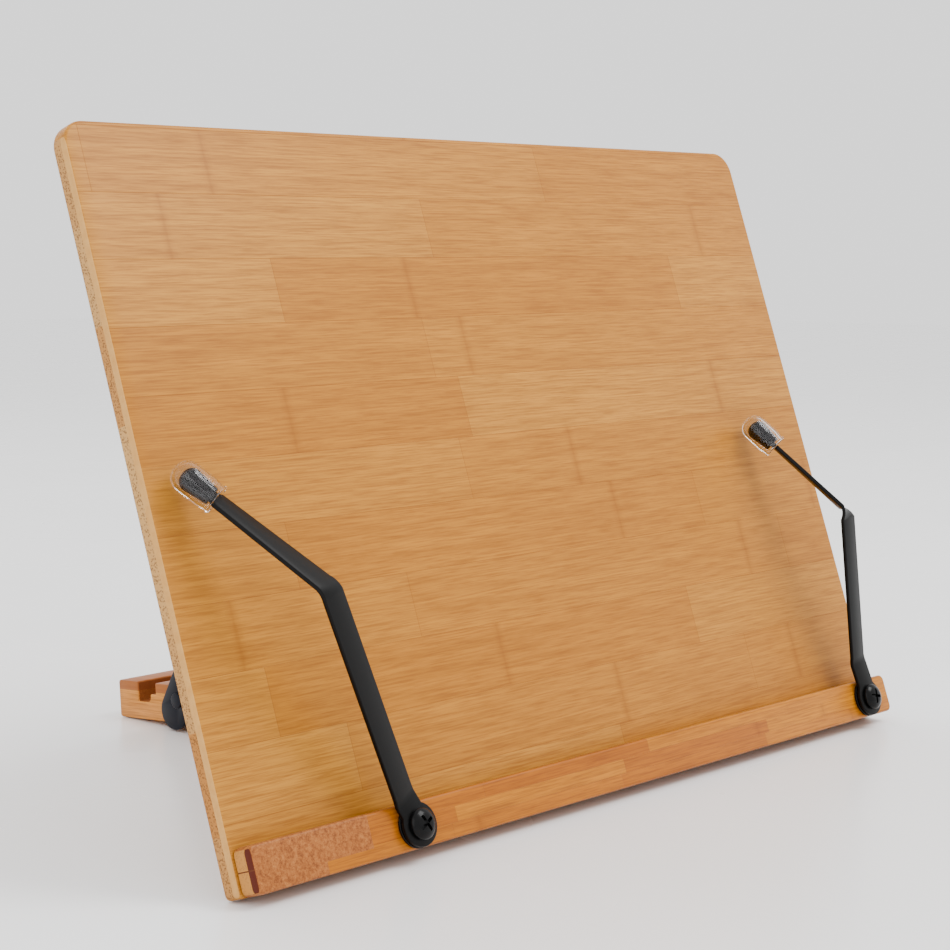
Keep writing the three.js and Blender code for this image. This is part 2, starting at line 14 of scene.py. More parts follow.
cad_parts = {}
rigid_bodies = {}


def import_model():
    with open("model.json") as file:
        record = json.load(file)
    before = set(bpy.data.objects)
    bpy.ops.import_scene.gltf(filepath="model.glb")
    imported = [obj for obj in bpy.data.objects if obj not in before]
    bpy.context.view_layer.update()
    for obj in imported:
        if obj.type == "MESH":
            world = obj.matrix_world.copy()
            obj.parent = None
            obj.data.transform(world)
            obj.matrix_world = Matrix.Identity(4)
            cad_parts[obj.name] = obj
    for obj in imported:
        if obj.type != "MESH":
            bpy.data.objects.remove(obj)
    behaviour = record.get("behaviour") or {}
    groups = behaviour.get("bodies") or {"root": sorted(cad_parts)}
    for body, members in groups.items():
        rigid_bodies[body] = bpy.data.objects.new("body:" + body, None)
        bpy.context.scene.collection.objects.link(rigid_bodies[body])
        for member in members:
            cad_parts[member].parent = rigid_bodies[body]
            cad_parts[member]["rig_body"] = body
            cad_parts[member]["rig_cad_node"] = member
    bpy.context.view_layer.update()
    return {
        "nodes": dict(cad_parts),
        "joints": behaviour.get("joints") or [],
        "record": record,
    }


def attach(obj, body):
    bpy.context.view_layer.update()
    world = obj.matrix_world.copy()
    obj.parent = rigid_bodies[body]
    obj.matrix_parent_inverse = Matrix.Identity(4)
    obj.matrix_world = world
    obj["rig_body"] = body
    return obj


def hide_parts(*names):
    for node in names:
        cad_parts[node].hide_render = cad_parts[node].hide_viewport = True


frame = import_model()
mm = 0.001

# %% [markdown]
# ## The camera
# The stand is seen from the left of its front, a little above the table, through a long lens that
# keeps the board's edges nearly parallel. The camera comes first, so that every later step is
# judged through it.

# %% Camera
eye = bpy.data.cameras.new("eye")
eye.lens, eye.sensor_width = 82.1, 36
camera = bpy.data.objects.new("camera", eye)
camera.location = (-0.5717, -0.5669, 0.1891)
camera.rotation_euler = (math.radians(90 - 6.06), 0, math.radians(-47.56))
bpy.context.scene.collection.objects.link(camera)
bpy.context.scene.camera = camera
print("camera is", round(camera.location.length, 3), "m from the middle of the stand")

# %% [markdown]
# ## Where the leaning board is
# Wooden boards are easiest to shape upright and flat, and to tilt afterwards. The mount on top of
# the ledge gives the lean, and the joints give the two axes behind the board.

# %% The leaning frame and the foot's frame
mounts = {mount["name"]: mount for mount in frame["record"]["mounts"]}
joints = {joint["name"]: joint for joint in frame["joints"]}
ledge_up = Vector(mounts["ledge_top"]["axis"])
lean = math.atan2(ledge_up.y, ledge_up.z)
tilt = Matrix.Rotation(-lean, 4, "X")
ledge_top_place = Vector((0, -4.15, 14.5)) * mm
board_origin = Vector(mounts["ledge_top"]["pos_m"]) - tilt @ ledge_top_place
on_board = Matrix.Translation(board_origin) @ tilt

foot_slope = math.radians(3.9876)
on_foot = Matrix.Translation(joints["foot_hinge"]["pos_m"]) @ Matrix.Rotation(-foot_slope, 4, "X")
print("the board leans", round(math.degrees(lean), 2), "degrees from", board_origin)

# %% [markdown]
# ## Hand tools
# Every piece goes through the same few moves: pick one object, pick some of its faces or edges by
# where they are, run a modifier and keep its result, and set the finished piece in place. Written
# once as small helpers, they keep the steps below short.

# %% Picking and placing
def only(piece):
    bpy.ops.object.select_all(action="DESELECT")
    piece.select_set(True)
    bpy.context.view_layer.objects.active = piece
    return piece


def pick(piece, kind, wanted):
    """Goes into edit mode with the vertices, edges or faces selected whose middle is wanted."""
    only(piece)
    bpy.ops.object.mode_set(mode="EDIT")
    bpy.ops.mesh.select_mode(type=kind)
    bpy.ops.mesh.select_all(action="DESELECT")
    bpy.ops.object.mode_set(mode="OBJECT")
    mesh = piece.data
    count = 0
    for item in {"VERT": mesh.vertices, "EDGE": mesh.edges, "FACE": mesh.polygons}[kind]:
        points = [item.co] if kind == "VERT" else [mesh.vertices[i].co for i in item.vertices]
        middle = sum((Vector(point) for point in points), Vector()) / len(points)
        spread = Vector([max(p[k] for p in points) - min(p[k] for p in points) for k in range(3)])
        item.select = bool(wanted(middle, spread))
        count += item.select
    bpy.ops.object.mode_set(mode="EDIT")
    return count


def leave_edit():
    bpy.ops.object.mode_set(mode="OBJECT")


def run_modifier(piece, kind, **settings):
    only(piece)
    modifier = piece.modifiers.new(kind.lower(), kind)
    for name, value in settings.items():
        setattr(modifier, name, value)
    bpy.ops.object.modifier_apply(modifier=modifier.name)


def round_edges(piece, width, segments=3, angle=30):
    run_modifier(piece, "BEVEL", width=width, segments=segments, limit_method="ANGLE",
                 angle_limit=math.radians(angle), use_clamp_overlap=True)


def block(name, low, high):
    """A cube at its size and place, from its lowest to its highest corner in millimetres."""
    low, high = Vector(low) * mm, Vector(high) * mm
    bpy.ops.object.select_all(action="DESELECT")
    bpy.ops.mesh.primitive_cube_add(size=1, location=(low + high) / 2, scale=high - low)
    piece = bpy.context.object
    piece.name = piece.data.name = name
    bpy.ops.object.transform_apply(location=True, rotation=True, scale=True)
    return piece


def peg(name, radius, length, middle, turn=(0, 0, 0), sides=48):
    """A round bar along Z, turned and placed, in millimetres."""
    bpy.ops.object.select_all(action="DESELECT")
    bpy.ops.mesh.primitive_cylinder_add(vertices=sides, radius=radius * mm, depth=length * mm,
                                        location=Vector(middle) * mm, rotation=turn)
    piece = bpy.context.object
    piece.name = piece.data.name = name
    bpy.ops.object.transform_apply(location=True, rotation=True, scale=True)
    return piece


def cut(piece, tool):
    """Takes the tool's shape out of the piece and throws the tool away."""
    run_modifier(piece, "BOOLEAN", operation="DIFFERENCE", solver="EXACT", object=tool)
    bpy.data.objects.remove(tool)


def set_in_place(piece, place, body, finish, slot, *nodes, smooth=35):
    """Moves the finished mesh to its place, shades it and ties it to its body."""
    only(piece)
    piece.matrix_world = place
    bpy.ops.object.transform_apply(location=True, rotation=True, scale=True)
    bpy.ops.object.shade_smooth_by_angle(angle=math.radians(smooth))
    piece.data.materials.clear()
    piece.data.materials.append(finish)
    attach(piece, body)
    if nodes:
        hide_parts(*nodes)
    low = [min(v.co[k] for v in piece.data.vertices) / mm for k in range(3)]
    high = [max(v.co[k] for v in piece.data.vertices) / mm for k in range(3)]
    print(piece.name, "mm:", [round(v, 1) for v in low], [round(v, 1) for v in high])
    return piece


# %% [markdown]
# ## Writing patterns as sums
# A finish is mixed from numbers that change over the surface. Wrapping a node's output in a small
# class lets those sums be written as ordinary Python, and each sign adds its own Math node.

# %% The pattern kit
class Wire:
    def __init__(self, finish, socket):
        self.finish, self.socket = finish, socket

    def maths(self, operation, first, second=0.0):
        return self.finish.wire("ShaderNodeMath", {"operation": operation}, {0: first, 1: second})

    def __add__(self, other): return self.maths("ADD", self, other)
    def __radd__(self, other): return self.maths("ADD", other, self)
    def __sub__(self, other): return self.maths("SUBTRACT", self, other)
    def __rsub__(self, other): return self.maths("SUBTRACT", other, self)
    def __mul__(self, other): return self.maths("MULTIPLY", self, other)
    def __rmul__(self, other): return self.maths("MULTIPLY", other, self)
    def __truediv__(self, other): return self.maths("DIVIDE", self, other)
    def __gt__(self, other): return self.maths("GREATER_THAN", self, other)
    def __lt__(self, other): return self.maths("LESS_THAN", self, other)
    def __abs__(self): return self.maths("ABSOLUTE", self)
    def whole(self): return self.maths("FLOOR", self)
    def part(self): return self.maths("FRACT", self)


def srgb(red, green, blue):
    """A colour as a painter reads it, 0 to 255, turned into light."""
    def light(value):
        value /= 255
        return value / 12.92 if value < 0.04045 else ((value + 0.055) / 1.055) ** 2.4
    return (light(red), light(green), light(blue), 1)


class Finish:
    """A material that is built up node by node."""

    def __init__(self, name, **surface):
        self.material = bpy.data.materials.new(name)
        self.material.use_nodes = True
        self.tree = self.material.node_tree
        self.surface = self.tree.nodes["Principled BSDF"]
        for socket, value in surface.items():
            self.surface.inputs[socket.replace("_", " ")].default_value = value

    def node(self, kind, settings=None, sockets=None):
        node = self.tree.nodes.new(kind)
        for name, value in (settings or {}).items():
            if name == "stops":
                self.set_stops(node, value)
            else:
                setattr(node, name, value)
        for name, value in (sockets or {}).items():
            if isinstance(value, Wire):
                self.tree.links.new(value.socket, node.inputs[name])
            else:
                node.inputs[name].default_value = value
        return node

    def set_stops(self, node, stops):
        ramp = node.color_ramp
        while len(ramp.elements) < len(stops):
            ramp.elements.new(0.5)
        for element, (place, colour) in zip(ramp.elements, stops):
            element.position, element.color = place, colour

    def wire(self, kind, settings=None, sockets=None, output=0):
        return Wire(self, self.node(kind, settings, sockets).outputs[output])

    def place(self, turned=(0, 0, 0), shift=(0, 0, 0), scale=(1, 1, 1)):
        """Where a point of the surface is, turned and shifted into the piece's own directions."""
        here = self.wire("ShaderNodeTexCoord", output="Object")
        return self.wire("ShaderNodeMapping", {}, {"Vector": here, "Location": shift,
                                                   "Rotation": turned, "Scale": scale})

    def split(self, vector):
        node = self.node("ShaderNodeSeparateXYZ", {}, {"Vector": vector})
        return [Wire(self, output) for output in node.outputs]

    def join(self, x, y, z):
        return self.wire("ShaderNodeCombineXYZ", {}, {"X": x, "Y": y, "Z": z})

    def noise(self, vector, scale, detail=4, roughness=0.6):
        return self.wire("ShaderNodeTexNoise", {}, {"Vector": vector, "Scale": scale,
                                                    "Detail": detail, "Roughness": roughness})

    def chance(self, x, y):
        """The same random number all over one strip, and another on the next."""
        return self.wire("ShaderNodeTexWhiteNoise", {"noise_dimensions": "2D"},
                         {"Vector": self.join(x, y, 0.0)})

    def blend(self, amount, first, second, how="MIX"):
        node = self.node("ShaderNodeMix", {"data_type": "RGBA", "blend_type": how})
        for index, value in ((0, amount), (6, first), (7, second)):
            if isinstance(value, Wire):
                self.tree.links.new(value.socket, node.inputs[index])
            else:
                node.inputs[index].default_value = value
        return Wire(self, node.outputs[2])

    def ramp(self, amount, *stops):
        return self.wire("ShaderNodeValToRGB", {"stops": stops}, {"Fac": amount})

    def bump(self, height, strength, distance):
        return self.wire("ShaderNodeBump", {}, {"Height": height, "Strength": strength,
                                                "Distance": distance})

    def feed(self, **links):
        for socket, value in links.items():
            self.tree.links.new(value.socket, self.surface.inputs[socket.replace("_", " ")])
        return self.material


# %% [markdown]
# ## Bamboo
# Bamboo board is glued from narrow strips that lie side by side and end in butt joints, like
# brickwork. Each strip came from another cane, so its tone differs. Fine dark fibres run along it,
# a cane's joint crosses it here and there as a soft dark band, and a sawn end shows the fibres as
# dots. All of it is worked out from the place on the piece, so the pattern goes round the corners.

# %% Bamboo finish
white, grey, black = (1, 1, 1, 1), (0.45, 0.45, 0.45, 1), (0, 0, 0, 1)
glue_line = 0.12 * mm
cane_joints_apart = 0.19
grain_strength, grain_depth = 0.35, 0.00012


def strips(finish, along, across, length, width, seed):
    """Random tone of each strip, and the thin glue lines between strips."""
    row = (across / width + seed).whole()
    shifted = along / length + finish.chance(row, seed) * 7.0
    cell = shifted.whole()
    tone = finish.chance(row * 3.1 + seed, cell * 1.7)
    side_line = abs((across / width + seed).part() - 0.5) > 0.5 - glue_line / width
    end_line = abs(shifted.part() - 0.5) > 0.5 - glue_line / length
    wobble = finish.noise(finish.join(along, across, 0.0), 260, 2) * 2.4 * mm
    turns = along / cane_joints_apart + finish.chance(row, cell + 5.3) * 3.0
    away = abs(turns.part() - 0.5) * cane_joints_apart + wobble - 1.2 * mm
    cane_joint = finish.ramp(away / (3 * mm), (0.0, white), (0.35, grey), (1.0, black))
    cane_joint = finish.wire("ShaderNodeRGBToBW", {}, {"Color": cane_joint})
    return tone, side_line.maths("MAXIMUM", side_line, end_line), cane_joint


def fibres(finish, along, across, through):
    stretched = finish.join(along * 0.035, across, through)
    fine = finish.noise(stretched, 1500, 3, 0.7)
    broad = finish.noise(stretched, 330, 3, 0.6)
    return fine, broad


def bamboo_colour(finish, tone, fine, broad, tones, vein):
    colour = finish.ramp(tone, *tones)
    streak = finish.ramp(fine, (0.42, white), (0.64, black))
    cloud = finish.ramp(broad, (0.35, (0.82, 0.78, 0.72, 1)), (0.65, (1.0, 1.0, 1.0, 1)))
    colour = finish.blend(1.0, colour, cloud, "MULTIPLY")
    dark_streak = (1.0 - finish.wire("ShaderNodeRGBToBW", {}, {"Color": streak})) * 0.5
    return finish.blend(dark_streak, colour, vein)


def end_grain(finish, across, through, colour, dot, strength=0.75):
    """Sawn ends: dark fibre dots close together on the strip's own tone."""
    cells = finish.wire("ShaderNodeTexVoronoi", {"feature": "F1"},
                        {"Vector": finish.join(0.0, across, through), "Scale": 1450,
                         "Randomness": 1.0})
    dots = finish.ramp(cells, (0.2, white), (0.52, black))
    dots = finish.wire("ShaderNodeRGBToBW", {}, {"Color": dots})
    return finish.blend(dots * strength, colour, dot), dots


print("bamboo helpers ready")

# %% [markdown]
# ## The board's finish
# The board is pressed from two layers. The front layer is smooth and pale, and the thick back
# layer shows its dotted ends along the sides. The strips run from side to side.

# %% Board finish
honey = srgb(190, 126, 38)
pale = srgb(196, 134, 46)
tan = srgb(184, 119, 32)
vein = srgb(122, 62, 8)
end_dot = srgb(84, 46, 20)


def upright(finish):
    """Directions across the leaning board, into it and up it, from its lower front edge."""
    back = Matrix.Rotation(lean, 4, "X")
    shift = -(back @ board_origin)
    return finish.split(finish.place(turned=(lean, 0, 0), shift=shift))


def board_finish():
    finish = Finish("board_bamboo", Specular_IOR_Level=0.18)
    x, y, z = upright(finish)
    tone, line, joint = strips(finish, x, z, 0.21, 0.0215, 2.0)
    fine, broad = fibres(finish, x, z, y)
    colour = bamboo_colour(finish, tone, fine, broad, ((0.0, tan), (0.5, honey), (1.0, pale)), vein)
    colour = finish.blend(joint * 0.35, colour, vein)
    colour = finish.blend(line * 0.45, colour, vein)
    # The side faces: tall blocks of dotted ends, and the smooth front layer.
    side = abs(x) > 0.1694
    block_tone = finish.chance((z / 0.031 + 0.4).whole(), (y / 0.01).whole())
    ends = finish.ramp(block_tone, (0.0, srgb(184, 134, 76)), (0.6, srgb(196, 150, 90)),
                       (1.0, srgb(176, 116, 52)))
    ends, dots = end_grain(finish, z, y, ends, end_dot)
    smooth_layer = y < 2.2 * mm
    layer = finish.blend(broad, srgb(190, 134, 66), srgb(212, 164, 98))
    ends = finish.blend(smooth_layer, ends, layer)
    colour = finish.blend(side, colour, ends)
    rough = 0.36 + fine * 0.16 + side * 0.2 + line * 0.1
    height = fine * 0.5 + broad * 0.3 - line * 0.8 - dots * side * 0.7
    return finish.feed(Base_Color=colour, Roughness=rough,
                       Normal=finish.bump(height, grain_strength, grain_depth))


board_bamboo = board_finish()
print("board finish has", len(board_bamboo.node_tree.nodes), "nodes")

# %% [markdown]
# ## The ledge's finish
# The ledge is a deeper honey, lacquered, and its strips are narrow. Its left end block is coarse
# and pinkish, cut across the fibres, and its end face has a dark brown strip of painted shade at
# the front.

# %% Ledge finish
def ledge_finish():
    finish = Finish("ledge_bamboo", Specular_IOR_Level=0.22)
    x, y, z = upright(finish)
    tone, line, joint = strips(finish, x, z, 0.085, 0.00485, 0.0)
    fine, broad = fibres(finish, x, z, y)
    tones = ((0.0, srgb(170, 94, 0)), (0.35, srgb(182, 107, 2)), (0.7, srgb(194, 121, 8)),
             (1.0, srgb(174, 99, 0)))
    colour = bamboo_colour(finish, tone, fine, broad, tones, srgb(104, 44, 4))
    colour = finish.blend(joint * 0.3, colour, srgb(104, 46, 6))
    colour = finish.blend(line * 0.25, colour, srgb(104, 46, 6))
    # The left block is sawn across its fibres.
    grain = finish.noise(finish.join(x, y, z), 800, 5, 0.85)
    grain = finish.ramp(grain, (0.36, srgb(92, 42, 14)), (0.5, srgb(152, 88, 36)),
                        (0.66, srgb(186, 122, 62)))
    block = finish.blend(finish.noise(finish.join(x, y, z), 90, 2) * 0.6, grain, srgb(150, 84, 30))
    left_block = (x < -0.1215) * (z > 4 * mm).maths("MAXIMUM", z > 4 * mm, x < -0.141)
    colour = finish.blend(left_block, colour, block)
    ends, dots = end_grain(finish, z, y, srgb(186, 126, 56), end_dot, 0.25)
    # Painted shade: the front part of each end face is painted dark brown.
    ends = finish.blend(y < -5.6 * mm, ends, srgb(82, 26, 6))
    ends = finish.blend(abs(z - 7.4 * mm) < 0.2 * mm, ends, srgb(92, 44, 14))
    end_face = abs(x) > 0.1685
    colour = finish.blend(end_face, colour, ends)
    rough = 0.3 + fine * 0.16 + left_block * 0.12 + end_face * 0.15
    height = fine * 0.5 + broad * 0.4 - line * 0.7 - dots * end_face * 0.6
    return finish.feed(Base_Color=colour, Roughness=rough,
                       Normal=finish.bump(height, grain_strength, grain_depth))


ledge_bamboo = ledge_finish()
print("ledge finish has", len(ledge_bamboo.node_tree.nodes), "nodes")

# %% [markdown]
# ## The foot's finish
# The foot is one thick length of bamboo whose strips run front to back. A thin pinkish layer lies
# on a thick orange one, and the sawn notches are painted darker, as shade inside the hollows.

# %% Foot finish
layer_depth = 6.3 * mm


def foot_finish():
    finish = Finish("foot_bamboo", Specular_IOR_Level=0.18)
    back = Matrix.Rotation(foot_slope, 4, "X")
    shift = -(back @ Vector(joints["foot_hinge"]["pos_m"]))
    x, y, z = finish.split(finish.place(turned=(foot_slope, 0, 0), shift=shift))
    tone, line, joint = strips(finish, y, x, 0.16, 0.0172, 4.0)
    fine, broad = fibres(finish, y, x, z)
    tones = ((0.0, srgb(214, 140, 60)), (0.5, srgb(226, 158, 78)), (1.0, srgb(218, 146, 62)))
    colour = bamboo_colour(finish, tone, fine, broad, tones, srgb(122, 62, 16))
    upper = z > -layer_depth
    upper_tones = finish.blend(broad, srgb(132, 70, 34), srgb(164, 98, 54))
    colour = finish.blend(upper * 0.85, colour, upper_tones)
    layer_line = abs(z + layer_depth) < glue_line
    colour = finish.blend((layer_line + line) * 0.35, colour, srgb(104, 58, 30))
    colour = finish.blend(joint * 0.3, colour, srgb(116, 66, 34))
    # Painted shade: the inside of each notch is darkened, with a speckle, where shade falls.
    inside = (y > 0.101) * (y < 0.1975) * (z < -3.2 * mm) * (z > -10.9 * mm)
    walls = abs(x) < 33.4 * mm
    speckle = finish.noise(finish.join(x, y, z), 700, 4, 0.7)
    notch_shade = finish.blend(speckle, srgb(82, 34, 10), srgb(126, 62, 22))
    colour = finish.blend(inside * walls * 0.85, colour, notch_shade)
    end_face = y > 0.2076
    ends, dots = end_grain(finish, x, z, srgb(196, 134, 66), end_dot)
    colour = finish.blend(end_face * 0.9, colour, ends)
    rough = 0.38 + fine * 0.16 + inside * 0.25 + end_face * 0.15
    height = fine * 0.5 + broad * 0.3 - line * 0.6 - dots * end_face * 0.6
    return finish.feed(Base_Color=colour, Roughness=rough,
                       Normal=finish.bump(height, grain_strength, grain_depth))


foot_bamboo = foot_finish()
print("foot finish has", len(foot_bamboo.node_tree.nodes), "nodes")

# %% [markdown]
# ## Steel, rubber and clear plastic
# The arms have a satin black coat with a faint orange peel. The prop's coat is smoother and
# slightly blue. The screws are glossy. Zinc plate on the hinges is bright and cloudy, with fine
# rubbing marks. The arm's end carries a dark bead in a clear soft sleeve.

# %% Metal and plastic finishes
def coated(name, dark, light, rough, peel):
    finish = Finish(name, Specular_IOR_Level=0.12)
    here = finish.place()
    cloud = finish.noise(here, 45, 4, 0.65)
    dust = finish.noise(here, 1400, 3, 0.7)
    colour = finish.blend(cloud * 0.8 + (dust > 0.68) * 0.3, dark, light)
    skin = finish.noise(here, 900, 2, 0.5)
    return finish.feed(Base_Color=colour, Roughness=rough + cloud * 0.14 + (dust > 0.66) * 0.1,
                       Normal=finish.bump(skin, peel, 0.00006))


def zinc_plate():
    finish = Finish("zinc_steel", Metallic=1.0)
    here = finish.place()
    cloud = finish.noise(here, 60, 5, 0.7)
    rubbed = finish.noise(finish.place(scale=(1, 12, 12)), 260, 4, 0.7)
    colour = finish.blend(cloud, srgb(150, 150, 148), srgb(206, 206, 204))
    return finish.feed(Base_Color=colour, Roughness=0.2 + cloud * 0.2 + rubbed * 0.12,
                       Normal=finish.bump(rubbed, 0.15, 0.00005))


def bead_rubber():
    finish = Finish("dark_rubber", Specular_IOR_Level=0.2, Coat_Weight=0.2, Coat_Roughness=0.06)
    cloud = finish.noise(finish.place(), 220, 4, 0.6)
    colour = finish.blend(cloud, srgb(6, 4, 5), srgb(22, 16, 18))
    return finish.feed(Base_Color=colour, Roughness=0.16 + cloud * 0.14,
                       Normal=finish.bump(cloud, 0.2, 0.0001))


def clear_sleeve():
    finish = Finish("clear_plastic", Transmission_Weight=1.0, IOR=1.14, Coat_Weight=0.2,
                    Coat_Roughness=0.03)
    cloud = finish.noise(finish.place(), 160, 3, 0.5)
    colour = finish.blend(cloud, srgb(236, 236, 238), srgb(250, 250, 250))
    return finish.feed(Base_Color=colour, Roughness=0.02 + cloud * 0.05,
                       Normal=finish.bump(cloud, 0.15, 0.0001))


arm_black = coated("arm_steel", srgb(3, 3, 3), srgb(12, 11, 11), 0.32, 0.12)
prop_black = coated("prop_steel", srgb(12, 13, 18), srgb(28, 30, 40), 0.24, 0.08)
screw_black = coated("black_fixings", srgb(5, 5, 5), srgb(16, 16, 17), 0.14, 0.05)
zinc = zinc_plate()
rubber = bead_rubber()
clear = clear_sleeve()
print("metal and plastic finishes ready")

# %% [markdown]
# ## The board
# The real board is sawn to a rectangle, its two upper corners are routed round, and a router eases
# all its edges. A cube at the board's size takes the same steps: corner edges bevelled wide, then
# every edge bevelled narrow. The four screws of the ledge sit in round pockets cut in the back.

# %% Board
board_wide, board_tall, board_thick = 340, 238, 6.5
half = board_wide / 2
screw_places = (-132, -55, 55, 132)
screw_height = 7.25

board = block("bamboo_board", (-half, 0, 0), (half, board_thick, board_tall))
pick(board, "EDGE", lambda m, s: s.y > 0.005 and m.z > 0.2)
bpy.ops.mesh.bevel(offset=8.5 * mm, segments=10)
leave_edit()
pick(board, "EDGE", lambda m, s: s.y > 0.005 and m.z < 0.001)
bpy.ops.mesh.bevel(offset=2 * mm, segments=5)
leave_edit()
round_edges(board, 1.0 * mm, 3, 40)
for x in screw_places:
    cut(board, peg("pocket", 3.5, 4, (x, board_thick + 0.4, screw_height), (math.pi / 2, 0, 0)))
set_in_place(board, on_board, "panel", board_bamboo, "board_bamboo", "back_board")

# %% [markdown]
# ## The ledge
# A square batten with small round ends. It stops one millimetre short of the board at each end.

# %% Ledge
ledge = block("bamboo_ledge", (-half + 1, -8, 0), (half - 1, -0.3, 14.5))
pick(ledge, "EDGE", lambda m, s: s.y > 0.005 and abs(m.x) > 0.16)
bpy.ops.mesh.bevel(offset=2.2 * mm, segments=5)
leave_edit()
round_edges(ledge, 0.85 * mm, 3, 40)
set_in_place(ledge, on_board, "panel", ledge_bamboo, "ledge_bamboo", "front_ledge")

# %% [markdown]
# ## The foot
# The foot's notches are sawn straight across. Each has an upright rear wall that the rod leans on,
# and a small step in front, so that the rod drops in easily. Two blocks stand for two passes of
# the saw, and the deeper one has a rounded front corner, as the cutter leaves it.

# %% Foot
foot_rear, foot_front, foot_half = 208, -2.2, 34
foot_top, foot_thick = -2.6, 15
first_wall, notch_pitch, notch_count = 12, 25, 4
walls = [foot_rear - first_wall - notch_pitch * k for k in range(notch_count)]
notch_wide, notch_lower, notch_step, notch_deep = 10.9, 7.6, 4.7, 8

foot = block("bamboo_foot", (-foot_half, foot_front, foot_top - foot_thick),
             (foot_half, foot_rear, foot_top))
pick(foot, "EDGE", lambda m, s: s.x > 0.06)
bpy.ops.mesh.bevel(offset=1.2 * mm, segments=4)
leave_edit()


def saw_notch(piece, wall):
    over = foot_half + 2
    far_corner = (over, wall, foot_top + 3)
    cut(piece, block("saw_step", (-over, wall - notch_wide, foot_top - notch_step), far_corner))
    floor_cut = block("saw_floor", (-over, wall - notch_lower, foot_top - notch_deep), far_corner)
    low, front = (foot_top - 5) * mm, (wall - 3) * mm
    pick(floor_cut, "EDGE", lambda m, s: s.x > 0.06 and m.z < low and m.y < front)
    bpy.ops.mesh.bevel(offset=2.2 * mm, segments=5)
    leave_edit()
    cut(piece, floor_cut)


for wall in walls:
    saw_notch(foot, wall)
round_edges(foot, 0.45 * mm, 2, 40)
print("notches sawn at", walls)
set_in_place(foot, on_foot, "foot", foot_bamboo, "foot_bamboo", "foot_plate")

# %% [markdown]
# ## Steel pieces with broken edges
# Stamped steel is tumbled, so no edge is sharp, and the thin line of light along an arm comes from
# that. The working model already has each steel piece's true shape with sharp edges. A copy of it
# is joined up, freed of the lines across its flat faces, and its edges are bevelled.

# %% Softened copies
def softened(node, width, body, finish, slot, angle=32, segments=2):
    source = frame["nodes"][node]
    copy = source.copy()
    copy.data = source.data.copy()
    copy.parent = None
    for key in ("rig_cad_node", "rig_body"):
        del copy[key]
    copy.name = copy.data.name = node + "_steel"
    bpy.context.scene.collection.objects.link(copy)
    only(copy)
    bpy.ops.object.mode_set(mode="EDIT")
    bpy.ops.mesh.select_all(action="SELECT")
    bpy.ops.mesh.remove_doubles(threshold=0.00001)
    bpy.ops.mesh.dissolve_limited(angle_limit=math.radians(1))
    leave_edit()
    round_edges(copy, width * mm, segments, angle)
    return set_in_place(copy, Matrix.Identity(4), body, finish, slot, node, smooth=40)


for side in ("left", "right"):
    softened(side + "_arm_strip", 0.3, "arm_" + side, arm_black, "arm_steel")
    softened(side + "_arm_spacer", 0.2, "panel", screw_black, "black_fixings")
    softened(side + "_prop_leg", 0.2, "prop", prop_black, "prop_steel")
    softened(side + "_prop_bracket", 0.25, "panel", prop_black, "prop_steel")
    softened(side + "_rod_rivet", 0.25, "prop", prop_black, "prop_steel")
    softened(side + "_pivot_rivet", 0.3, "panel", prop_black, "prop_steel")
    softened(side + "_hinge_board_leaf", 0.15, "panel", zinc, "zinc_steel")
    softened(side + "_hinge_foot_leaf", 0.15, "foot", zinc, "zinc_steel")
    softened(side + "_hinge_pin", 0.15, "panel", zinc, "zinc_steel")
softened("prop_rod", 0.35, "foot", prop_black, "prop_steel")

# %% [markdown]
# ## Wood screws
# They are small and partly sunk, so each is a copy of the working model's screw with its rim eased.

# %% Wood screws
wood_screws = [n for n in sorted(frame["nodes"]) if "screw" in n and "arm" not in n]
for node in wood_screws:
    body = "foot" if "foot_hinge" in node else "panel"
    softened(node, 0.1, body, zinc, "zinc_steel", angle=40)
print("wood screws:", len(wood_screws))

# %% [markdown]
# ## Arm screws
# Each arm is held by a black pan-head screw with a cross recess. A short cylinder is crowned by
# insetting its top face and pulling it out twice, the shank is drawn from its underside, and two
# thin blocks cut the cross.

# %% Arm screws
ledge_face = -8
three_gaps, spacer_thick, strip_thick = 0.9, 0.9, 1.5
head_base = ledge_face - three_gaps - spacer_thick - strip_thick
head_tall, head_radius, rim_share = 2.6, 5, 0.4
shank_long, shank_inset = 13.8, 3.1
cross_thin, cross_long = 0.55, 2.9


def arm_screw(side):
    x = (Vector(joints[side + "_arm_pivot"]["pos_m"]).x) / mm
    rim = head_tall * rim_share
    head = peg(side + "_arm_screw_head", head_radius, rim, (0, 0, rim / 2), sides=56)
    steps = ((0.6, 0.42), (0.9, 0.32), (1.1, 0.26))
    level = rim
    for inset, rise in steps:
        top = level * mm
        pick(head, "FACE", lambda m, s: abs(m.z - top) < 1e-6 and s.z < 1e-7)
        bpy.ops.mesh.inset(thickness=inset * mm)
        lift = rise * (head_tall - rim)
        bpy.ops.transform.translate(value=(0, 0, lift * mm))
        leave_edit()
        level += lift
    pick(head, "FACE", lambda m, s: abs(m.z) < 1e-6 and s.z < 1e-7)
    bpy.ops.mesh.inset(thickness=shank_inset * mm)
    bpy.ops.mesh.extrude_region_move(TRANSFORM_OT_translate={"value": (0, 0, -shank_long * mm)})
    leave_edit()
    round_edges(head, 0.3 * mm, 3, 40)
    for wide, deep in ((cross_thin, cross_long), (cross_long, cross_thin)):
        cut(head, block("cross", (-wide, -deep, head_tall * 0.45), (wide, deep, head_tall + 1)))
    stand = Matrix.Translation(Vector((x, head_base, screw_height)) * mm)
    stand = stand @ Matrix.Rotation(math.pi / 2, 4, "X")
    twist = Matrix.Rotation(math.radians(28 if side == "left" else -12), 4, "Z")
    return set_in_place(head, on_board @ stand @ twist, "panel", screw_black, "black_fixings",
                        side + "_arm_screw")


for side in ("left", "right"):
    arm_screw(side)
